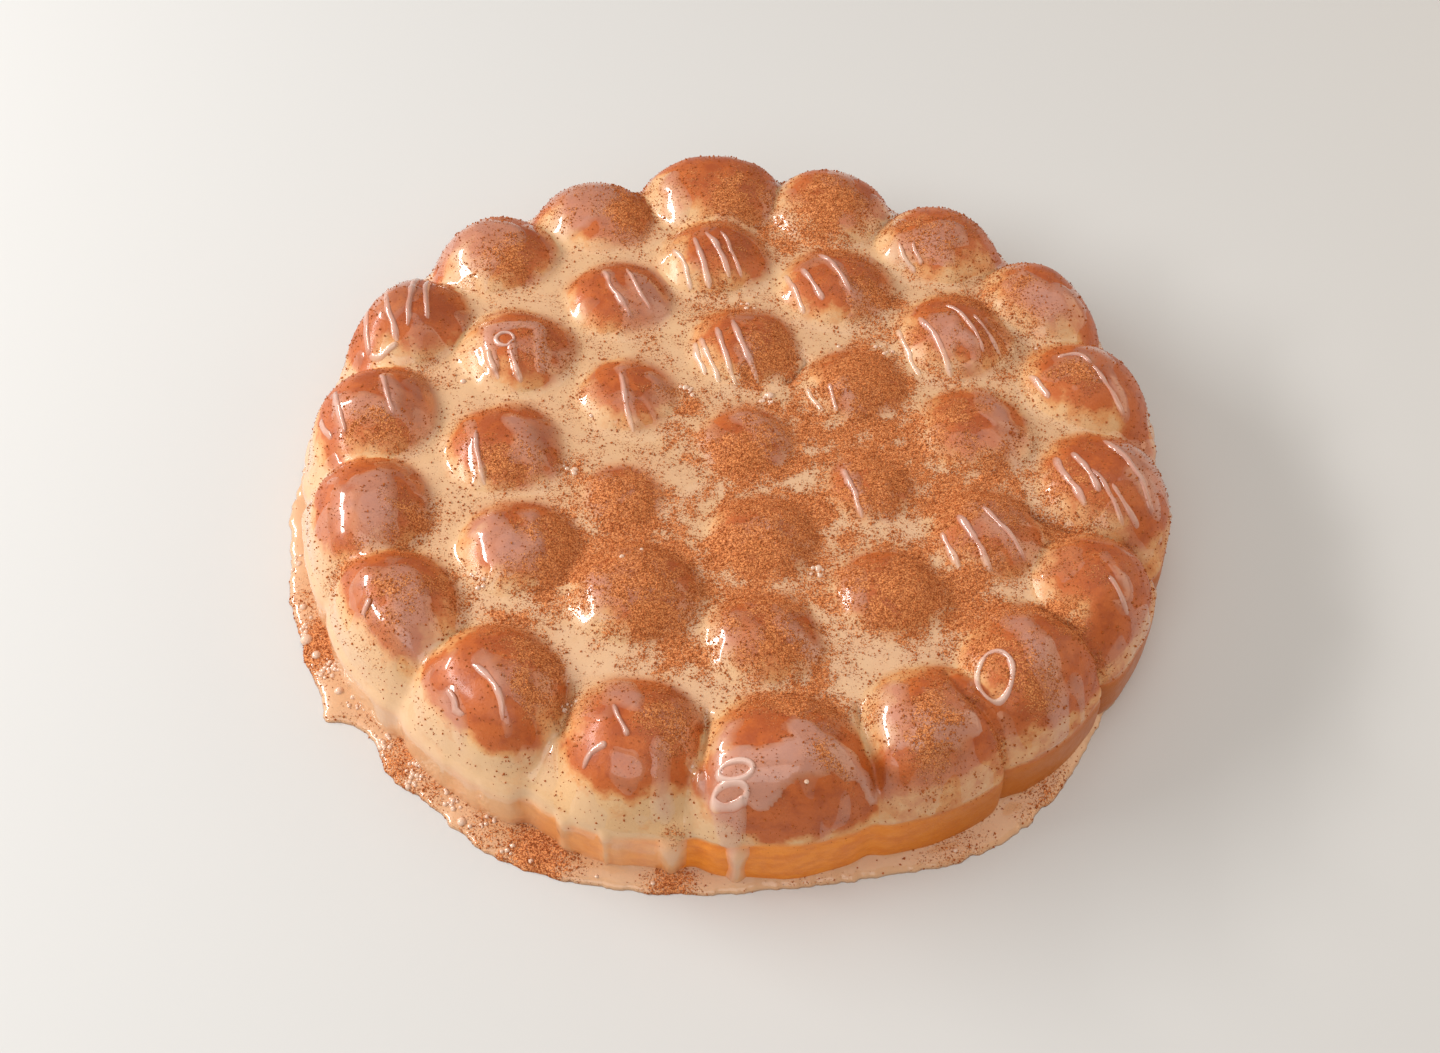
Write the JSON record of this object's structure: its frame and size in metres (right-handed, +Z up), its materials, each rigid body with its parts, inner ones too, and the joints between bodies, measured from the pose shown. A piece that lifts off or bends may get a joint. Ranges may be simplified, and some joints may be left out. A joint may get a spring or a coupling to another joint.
{
  "type": "pull-apart bun loaf",
  "caption": "Round loaf of domed sweet buns baked together in one piece, with an upright browned side and a flat underside, served whole or pulled apart bun by bun",
  "frame": {"origin": "middle of the flat underside", "axes": "+Z up out of the domed top, -Y towards the viewer of the picture, +X to the viewer's right"},
  "size_m": [0.274, 0.274, 0.0469],
  "materials": {
    "crust": "soft wheat dough baked golden to red-brown on the domes and side, paler in the creases, with a faint sheen",
    "glaze": "thin sweet milk glaze, wet and glossy, cream where it pools and see-through where it is thin",
    "cinnamon": "dry ground cinnamon in fine and coarse grains"
  },
  "bodies": {
    "root": {"bun_loaf": "crust"}
  },
  "joints": []
}
